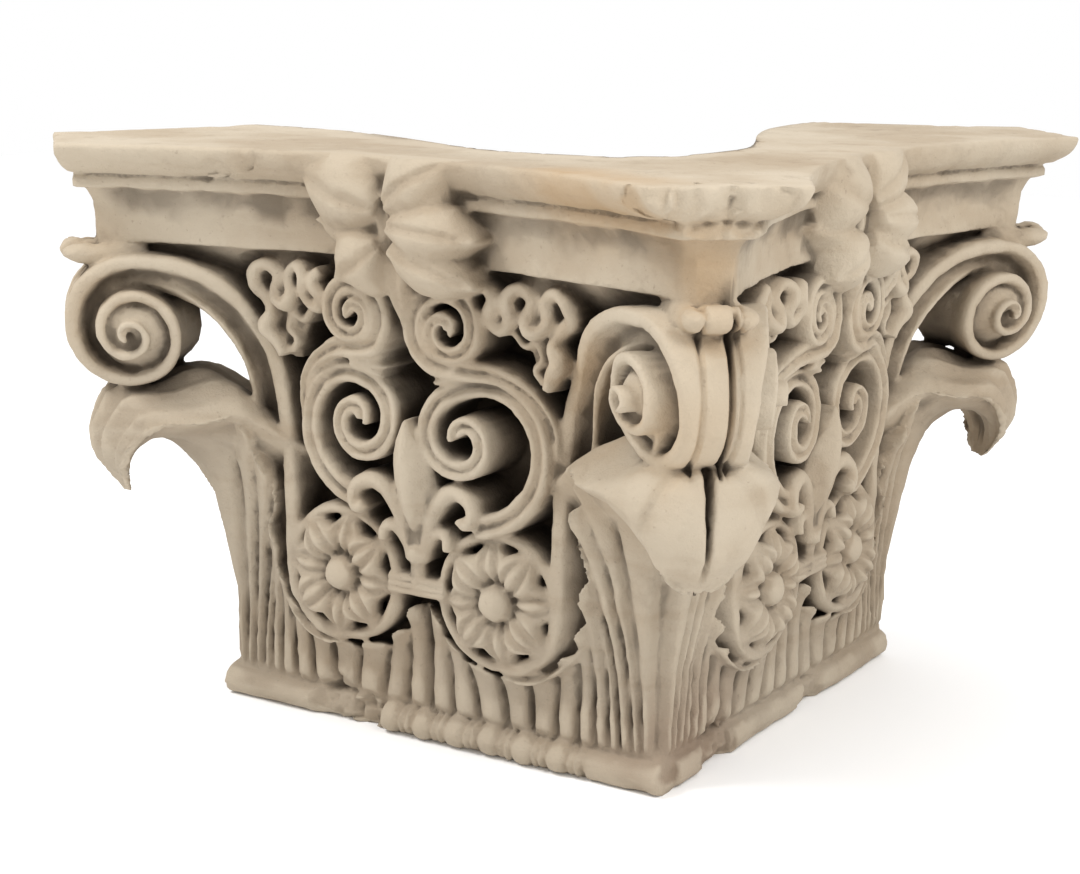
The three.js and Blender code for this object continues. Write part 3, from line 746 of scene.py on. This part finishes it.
# %% One mesh from the bench
points = np.vstack([vertices for vertices, _ in bench]) * MODULE
offsets = np.concatenate([[0], np.cumsum([len(vertices) for vertices, _ in bench])])
polygons = [[k + int(first) for k in face] for first, (_, faces) in zip(offsets, bench) for face in faces]
mesh = bpy.data.meshes.new("corinthian_capital")
mesh.from_pydata(points.tolist(), [], polygons)
capital = bpy.data.objects.new("corinthian_capital", mesh)
bpy.context.collection.objects.link(capital)
print("bench:", len(bench), "forms,", len(polygons), "faces")


def apply_modifier(piece, kind, **settings):
    """Adds a modifier, sets it and applies it."""
    modifier = piece.modifiers.new(kind.lower(), kind)
    for name, value in settings.items():
        setattr(modifier, name, value)
    bpy.context.view_layer.objects.active = piece
    bpy.ops.object.modifier_apply(modifier=modifier.name)


VOXEL = 0.0025                       # metres
apply_modifier(capital, "REMESH", mode="VOXEL", voxel_size=VOXEL, adaptivity=0.0)
apply_modifier(capital, "SMOOTH", factor=0.5, iterations=1)
print("fused skin:", len(capital.data.polygons), "faces")

# %% [markdown]
# ## Wear and loss
# Stone loses its edges first, then chips. Two scales of noise move the skin a little along its
# normal, and each chip is a dent with a ragged bottom. The rolled edges of the scrolls meet on the
# diagonal in seams, which are cut here too. Noise from a seeded lattice gives the same stone on
# every run.

# %% Seeded noise
def lattice_noise(where, size, seed):
    """Smooth noise from -1 to 1 at each row of where, with features of the given size."""
    p = where / size
    cell = np.floor(p).astype(np.int64)
    f = p - cell
    f = f * f * (3 - 2 * f)
    total = np.zeros(len(p))
    for corner in range(8):
        offset = np.array([corner & 1, corner >> 1 & 1, corner >> 2 & 1])
        n = cell + offset
        h = (n[:, 0] * 73856093 ^ n[:, 1] * 19349663 ^ n[:, 2] * 83492791 ^ seed * 2654435761) & 0xFFFFFFFF
        h = (h ^ h >> 15) * 2246822519 & 0xFFFFFFFF
        h = (h ^ h >> 13) * 3266489917 & 0xFFFFFFFF
        weight = np.prod(np.where(offset == 1, f, 1 - f), axis=1)
        total += weight * ((h ^ h >> 16) / 2147483648.0 - 1)
    return total


def positions(piece):
    flat = np.empty(len(piece.data.vertices) * 3)
    piece.data.vertices.foreach_get("co", flat)
    return flat.reshape(-1, 3)


def normals(piece):
    flat = np.empty(len(piece.data.vertices) * 3)
    piece.data.vertex_normals.foreach_get("vector", flat)
    return flat.reshape(-1, 3)


def reshape(piece, where):
    piece.data.vertices.foreach_set("co", where.ravel())
    piece.data.update()


# %% Chips, and the seams of the scrolls
CHIPS = [  # place in modules, radius, depth
    ((-0.80, -1.33, 2.19), 0.075, 0.045), ((-0.80, -1.32, 2.18), 0.035, 0.06),
    ((-0.73, -1.34, 2.16), 0.06, 0.035), ((-0.60, -1.33, 2.2), 0.06, 0.02),
    ((1.22, -1.58, 2.17), 0.12, 0.03), ((1.38, -1.48, 2.18), 0.15, 0.035),
    ((1.52, -1.36, 2.16), 0.15, 0.03), ((-0.45, -1.03, 0.07), 0.12, 0.04),
    ((-0.3, -1.04, 0.05), 0.09, 0.045), ((-1.55, -1.35, 2.22), 0.06, 0.03),
    ((1.02, -0.6, 0.05), 0.14, 0.04), ((1.03, 0.2, 0.03), 0.12, 0.035),
]
SEAMS = [(-0.064, 0.008, 0.018), (0.064, 0.008, 0.018), (0.036, 0.009, 0.05)]    # across, half-width, depth
skin, out = positions(capital), normals(capital)
ragged = lattice_noise(skin, 0.009, 3) * 0.8 + lattice_noise(skin, 0.03, 4) * 0.6
broken = np.zeros(len(skin))
for centre, radius, depth in CHIPS:
    away = np.linalg.norm(skin - np.array(centre) * MODULE, axis=1) / (radius * MODULE)
    broken += depth * MODULE * step(1.05, 0.7, away + 0.3 * ragged) * (0.8 + 0.6 * ragged)
print("chips:", len(CHIPS), "deepest", round(float(broken.max()) * 1000, 1), "mm")

# %% Wear all over
move = 0.0013 * lattice_noise(skin, 0.035, 1) + 0.0008 * lattice_noise(skin, 0.011, 2)
m = skin / MODULE
along_diagonal = (np.abs(m[:, 0]) + np.abs(m[:, 1])) / 2
off_diagonal = (np.abs(m[:, 0]) - np.abs(m[:, 1])) / math.sqrt(2)
on_rim = step(1.18, 1.24, along_diagonal) * step(1.27, 1.31, m[:, 2]) * step(1.87, 1.84, m[:, 2])
for line, half, depth in SEAMS:
    move -= depth * MODULE * on_rim * np.exp(-((off_diagonal - line) / half) ** 2)
into_block = -skin * [1, 1, 0] / np.linalg.norm(skin[:, :2], axis=1)[:, None]
reshape(capital, skin + out * move[:, None] + into_block * broken[:, None])
print("seams:", len(SEAMS), "on each horn")

# %% [markdown]
# ## Flat cuts
# The block was sawn flat below, on top, and at both ends where it met the building. The notch
# behind is cut last, through everything, so its walls are clean planes.

# %% Saw cuts
WALL_INNER = 0.55                    # how far the notch's flat walls are from the middle
CUT_END = 0.42                       # the same for the arms' flat ends


def slab(name, outline, low, high):
    """A prism over an outline, as a cutting tool that is thrown away afterwards."""
    tool_mesh = bpy.data.meshes.new(name)
    n = len(outline)
    ring = [[x * MODULE, y * MODULE] for x, y in outline]
    faces = [list(range(n))[::-1], list(range(n, 2 * n))]
    faces += [[i, (i + 1) % n, (i + 1) % n + n, i + n] for i in range(n)]
    corners = [[*p, height * MODULE] for height in (low, high) for p in ring]
    tool_mesh.from_pydata(corners, [], faces)
    shaper = bmesh.new()
    shaper.from_mesh(tool_mesh)
    bmesh.ops.recalc_face_normals(shaper, faces=shaper.faces)
    shaper.to_mesh(tool_mesh)
    shaper.free()
    tool = bpy.data.objects.new(name, tool_mesh)
    bpy.context.collection.objects.link(tool)
    return tool


def notch_outline(half):
    """Half the notch, given on the front arm, and its mirror image on the other arm."""
    other = [(-y, -x) for x, y in half[:-1][::-1]]
    return [(-2.5, -CUT_END), *half, *other, (CUT_END, 2.5), (-2.5, 2.5)]


ALL_ROUND = [(-3, -3), (3, -3), (3, 3), (-3, 3)]
BED_EDGE = along([(-1.07, -CUT_END - 0.002), (-0.785, -0.456), (-0.457, -0.57), (-0.07, -0.75),
                  (0.2, -0.83), (0.6, -0.78), (0.69, -0.69)], 26)
WALLS = [(-0.7, -CUT_END), (-0.6, -WALL_INNER), (WALL_INNER, -WALL_INNER)]
cuts = [
    slab("below", ALL_ROUND, -1, 0),
    slab("above", ALL_ROUND, HEIGHT, 4),
    slab("notch_top", notch_outline([tuple(p) for p in BED_EDGE]), 1.9, 3),
    slab("notch_low", notch_outline(WALLS), -1, 1.95),
]
for tool in cuts:
    apply_modifier(capital, "BOOLEAN", operation="DIFFERENCE", solver="MANIFOLD", object=tool)
    bpy.data.objects.remove(tool)
print("after the cuts:", len(capital.data.polygons), "faces")

# %% Fewer triangles where the stone is smooth
MOST_TRIANGLES = 196000
apply_modifier(capital, "TRIANGULATE")
apply_modifier(capital, "DECIMATE", ratio=min(1.0, MOST_TRIANGLES / len(capital.data.polygons)))
print("capital:", len(capital.data.polygons), "triangles")

# %% [markdown]
# ## Painted shade, dust and worn edges
# Dust settles where rain can't reach, and the material also paints shade into hollows and creases
# where light hardly reaches; hands and weather clean the edges. Both can be measured on the mesh.
# Rays from each point that soon meet stone mean a hollow, and a point that stands proud of its
# neighbours is an edge. The two numbers are stored on the mesh for the material.

# %% Hollows
RAYS = 14
REACH = 0.16                         # metres that a ray looks
GOLDEN = math.pi * (3 - math.sqrt(5))
skin, out = positions(capital), normals(capital)
tree = BVHTree.FromObject(capital, bpy.context.evaluated_depsgraph_get())
fan = []
for k in range(RAYS):
    height = 1 - (k + 0.5) / RAYS * 0.92
    wide = math.sqrt(1 - height ** 2)
    fan.append(Vector((math.cos(k * GOLDEN) * wide, math.sin(k * GOLDEN) * wide, height)))
hollow = np.zeros(len(skin))
for i, (point, normal) in enumerate(zip(skin, out)):
    n = Vector(normal)
    turn = n.to_track_quat("Z", "Y")
    start = Vector(point) + n * 0.0015
    met = 0.0
    for ray in fan:
        distance = tree.ray_cast(start, turn @ ray, REACH)[3]
        if distance is not None:
            met += 1 - 0.6 * distance / REACH
    hollow[i] = met / RAYS
print("hollows: mean", round(float(hollow.mean()), 3), "most", round(float(hollow.max()), 3))

# %% Edges and creases
edges = np.empty(len(capital.data.edges) * 2, dtype=np.int64)
capital.data.edges.foreach_get("vertices", edges)
edges = edges.reshape(-1, 2)
count = np.bincount(edges.ravel(), minlength=len(skin)).astype(float)


def spread(values):
    """Each point's mean over its neighbours."""
    total = np.bincount(edges[:, 0], values[edges[:, 1]], len(values))
    total += np.bincount(edges[:, 1], values[edges[:, 0]], len(values))
    return total / np.maximum(count, 1)


middle = np.column_stack([spread(skin[:, k]) for k in range(3)])
proud = np.einsum("ij,ij->i", skin - middle, out)
for _ in range(3):
    proud = spread(proud)
    hollow = 0.5 * hollow + 0.5 * spread(hollow)
# hollow drives grey dust and painted shade; proud drives painted shade in creases and the worn edges
for name, values in (("hollow", hollow), ("proud", np.clip(0.5 + proud / 0.0016, 0, 1))):
    layer = capital.data.attributes.new(name, "FLOAT", "POINT")
    layer.data.foreach_set("value", values.astype(np.float32))
print("proud: from", round(float(proud.min()) * 1000, 2), "to", round(float(proud.max()) * 1000, 2), "mm")

# %% [markdown]
# ## Buff stone
# The stone is a warm cream with cloudy patches, faint bedding, tan stains, grey-brown dust and
# painted shade in its hollows, and painted shade in its creases. Shader sums are easier to read as
# sums, so a small class wraps a socket and lets Python operators add the Math nodes. Colours go
# through Mix nodes instead, which keep them in colour.

# %% A socket that can be added and multiplied
class Shade:
    """One output of a node in the tree that is being built."""
    tree = None

    def __init__(self, socket):
        self.socket = socket

    @staticmethod
    def node(kind, settings=None, output=0, **inputs):
        """Adds a node, sets it, then fills or links its sockets: by name, or i0, i1 by number."""
        made = Shade.tree.nodes.new(kind)
        for name, value in (settings or {}).items():
            setattr(made, name, value)
        for name, value in inputs.items():
            slot = made.inputs[int(name[1:]) if name[1:].isdigit() else name]
            if isinstance(value, Shade):
                Shade.tree.links.new(value.socket, slot)
            else:
                slot.default_value = value
        return Shade(made.outputs[output])

    @staticmethod
    def maths(operation, first, second):
        return Shade.node("ShaderNodeMath", {"operation": operation}, i0=first, i1=second)

    def __add__(self, other):
        return Shade.maths("ADD", self, other)

    def __mul__(self, other):
        return Shade.maths("MULTIPLY", self, other)

    def __sub__(self, other):
        return Shade.maths("SUBTRACT", self, other)

    def __rsub__(self, other):
        return Shade.maths("SUBTRACT", other, self)

    __radd__, __rmul__ = __add__, __mul__

    def between(self, low, high):
        """0 below low, 1 above high."""
        smooth = {"interpolation_type": "SMOOTHSTEP"}
        return Shade.node("ShaderNodeMapRange", smooth, i0=self, i1=low, i2=high)


def noise(where, scale, detail=5.0, rough=0.55):
    return Shade.node("ShaderNodeTexNoise", Vector=where, Scale=scale, Detail=detail, Roughness=rough)


def blend(amount, first, second):
    """Mixes two colours, the second by amount."""
    return Shade.node("ShaderNodeMix", {"data_type": "RGBA"}, 2, i0=amount, i6=first, i7=second)


# %% Colours of the stone
CREAM = (0.385, 0.310, 0.222, 1)
PALE = (0.475, 0.405, 0.310, 1)      # fresh breaks and rubbed edges
TAN = (0.300, 0.225, 0.145, 1)
OCHRE = (0.400, 0.250, 0.115, 1)
RUST = (0.190, 0.100, 0.058, 1)
# GREY is settled dust, and in the hollows it is also part of the painted shade
GREY = (0.165, 0.127, 0.090, 1)      # settled dust
# near-black brown, used only as painted shade in the deepest hollows and in creases
PAINTED_SHADE = (0.030, 0.020, 0.012, 1)
stone = bpy.data.materials.new("buff_stone")
stone.use_nodes = True
shader = stone.node_tree.nodes["Principled BSDF"]
Shade.tree = stone.node_tree

# %% Patterns in the stone
where = Shade.node("ShaderNodeTexCoord", output=3)
# hollow: how enclosed each point is; it lays grey dust and painted shade, and adds roughness
hollows = Shade.node("ShaderNodeAttribute", {"attribute_name": "hollow"}, 2)
# proud is low in creases, used there for painted shade, and high on edges, used there for wear
crease_shade_and_edge_wear = Shade.node("ShaderNodeAttribute", {"attribute_name": "proud"}, 2)
flat_beds = Shade.node("ShaderNodeMapping", i0=where, i3=(1.2, 1.2, 9.0))
clouds = noise(where, 4.5)
mottle = noise(where, 26.0, 8.0, 0.65)
grain = noise(where, 420.0, 3.0, 0.6)
speckle = noise(where, 150.0, 4.0, 0.6)
beds = noise(flat_beds, 3.0, 4.0)
colour = blend(clouds.between(0.35, 0.65), CREAM, PALE)
colour = blend(beds.between(0.5, 0.72) * 0.35, colour, TAN)
colour = blend(mottle.between(0.52, 0.75) * 0.3, colour, GREY)
colour = blend(speckle.between(0.62, 0.74) * 0.35, colour, GREY)
print("patterns: clouds, beds, mottle, speckle and grain")

# %% Stains, dusty places and fresh breaks
STAINS = [  # colour, place in modules, radius, strength
    (OCHRE, (0.80, -1.40, 2.16), 0.34, 0.6), (OCHRE, (1.1, -1.5, 2.12), 0.3, 0.5),
    (OCHRE, (1.34, -1.40, 1.96), 0.25, 0.4), (OCHRE, (1.3, -1.45, 1.45), 0.34, 0.4),
    (OCHRE, (0.80, -1.20, 1.5), 0.3, 0.45), (OCHRE, (1.4, -1.4, 1.78), 0.2, 0.35),
    (RUST, (1.0, -0.75, 0.08), 0.5, 0.6), (GREY, (-1.15, -1.15, 1.2), 0.5, 0.5),
    (GREY, (1.15, 1.15, 1.2), 0.4, 0.35), (GREY, (0.0, -1.1, 2.25), 1.6, 0.12),
]
BREAKS = [(1.3, -1.52, 2.17), (1.46, -1.4, 2.18), (-0.74, -1.3, 2.17), (-0.4, -1.04, 0.06)]


def patch(centre, radius):
    """1 near a place given in modules, fading out at the radius."""
    middle = [c * MODULE for c in centre]
    apart = Shade.node("ShaderNodeVectorMath", {"operation": "DISTANCE"}, 1, i0=where, i1=middle)
    uneven = apart + (mottle - 0.5) * (0.5 * radius * MODULE)
    return 1 - uneven.between(0.1 * radius * MODULE, radius * MODULE)


for stain, centre, radius, strength in STAINS:
    colour = blend(patch(centre, radius) * strength, colour, stain)
for centre in BREAKS:
    colour = blend(patch(centre, 0.16) * (0.2 + 0.8 * speckle), colour, PALE)
print("stains:", len(STAINS), "fresh breaks:", len(BREAKS))

# %% Darker towards the foot, painted shade and dust in hollows, painted shade in creases, clean edges
# greyer towards the foot, fading out by 1.7 modules up
foot = 1 - Shade.node("ShaderNodeSeparateXYZ", output=2, i0=where).between(0.0, 1.7 * MODULE)
colour = blend(foot * (0.25 + 0.35 * clouds), colour, GREY)
# grey in the hollows, partly settled dust and partly painted shade
colour = blend(hollows.between(0.33, 0.68) * (0.3 + 0.5 * mottle), colour, GREY)
# painted shade: the deepest hollows turn near-black
colour = blend(hollows.between(0.44, 0.82) * 0.94, colour, PAINTED_SHADE)
# painted shade in creases, where the skin lies below its neighbours
colour = blend((1 - crease_shade_and_edge_wear.between(0.12, 0.42)) * 0.6, colour, PAINTED_SHADE)
colour = blend(crease_shade_and_edge_wear.between(0.62, 0.95) * (1 - hollows.between(0.3, 0.6)) * 0.5, colour, PALE)
Shade.tree.links.new(colour.socket, shader.inputs["Base Color"])

# %% Roughness and grain
roughness = 0.78 + 0.16 * mottle + 0.1 * hollows
Shade.tree.links.new(roughness.socket, shader.inputs["Roughness"])
shader.inputs["Specular IOR Level"].default_value = 0.25
surface = grain * 0.3 + speckle * 0.5 + mottle * 0.9
bump = Shade.node("ShaderNodeBump", Strength=0.55, Distance=0.004, Height=surface)
Shade.tree.links.new(bump.socket, shader.inputs["Normal"])
print("material nodes:", len(stone.node_tree.nodes))

# %% The stone on the capital, and its place in the frame
capital.data.materials.clear()
capital.data.materials.append(stone)
for polygon in capital.data.polygons:
    polygon.use_smooth = True
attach(capital, "root")
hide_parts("capital")

# %% [markdown]
# ## Floor, light and camera
# A capital of this kind is shown on a white sweep under broad soft light, strongest from the left
# and above, so that the undercut carving keeps its shadows.

# %% Floor
WIDE = 6                             # metres from the middle to each edge
floor_mesh = bpy.data.meshes.new("floor")
floor_mesh.from_pydata([(-WIDE, -WIDE, 0), (WIDE, -WIDE, 0), (WIDE, WIDE, 0), (-WIDE, WIDE, 0)],
                       [], [(0, 1, 2, 3)])
floor = bpy.data.objects.new("floor", floor_mesh)
bpy.context.collection.objects.link(floor)
paper = bpy.data.materials.new("white_paper")
paper.use_nodes = True
paper_shader = paper.node_tree.nodes["Principled BSDF"]
paper_shader.inputs["Base Color"].default_value = (0.97, 0.97, 0.97, 1)
paper_shader.inputs["Roughness"].default_value = 0.9
floor.data.materials.append(paper)

# %% Light
world = bpy.data.worlds.new("studio")
bpy.context.scene.world = world
world.use_nodes = True
sky = world.node_tree.nodes["Background"]
sky.inputs["Color"].default_value = (1, 1, 1, 1)
sky.inputs["Strength"].default_value = 1.0
bpy.context.scene.view_settings.view_transform = "Standard"
BOX_SIDE = 1.2                       # metres


def soft_box(name, place_at, aim, power):
    lamp = bpy.data.lights.new(name, "AREA")
    lamp.shape, lamp.size, lamp.size_y, lamp.energy = "RECTANGLE", BOX_SIDE, BOX_SIDE, power
    holder = bpy.data.objects.new(name, lamp)
    holder.location = place_at
    holder.rotation_mode = "QUATERNION"
    holder.rotation_quaternion = (Vector(aim) - Vector(place_at)).to_track_quat("-Z", "Y")
    bpy.context.collection.objects.link(holder)


soft_box("key", (-1.6, -2.0, 3.5), (0, 0, 0.35), 84)
soft_box("fill", (2.8, -1.0, 2.8), (0, 0, 0.3), 58)

# %% Camera
AZIMUTH, ELEVATION, ROLL = 0.5651, 0.2203, 0.0117      # radians, from straight in front
DISTANCE = 8.7006 * MODULE
TARGET = Vector((-0.1325, -0.0405, 0.9973)) * MODULE
level = math.cos(ELEVATION)
back = Vector((math.sin(AZIMUTH) * level, -math.cos(AZIMUTH) * level, math.sin(ELEVATION)))
right = Vector((math.cos(AZIMUTH), math.sin(AZIMUTH), 0))
up = back.cross(right)
right, up = right * math.cos(ROLL) + up * math.sin(ROLL), up * math.cos(ROLL) - right * math.sin(ROLL)
lens = bpy.data.cameras.new("camera")
lens.lens, lens.sensor_width = 70.26, 36
camera = bpy.data.objects.new("camera", lens)
axes = Matrix((right, up, back)).transposed().to_4x4()
camera.matrix_world = Matrix.Translation(TARGET + back * DISTANCE) @ axes
bpy.context.collection.objects.link(camera)
bpy.context.scene.camera = camera
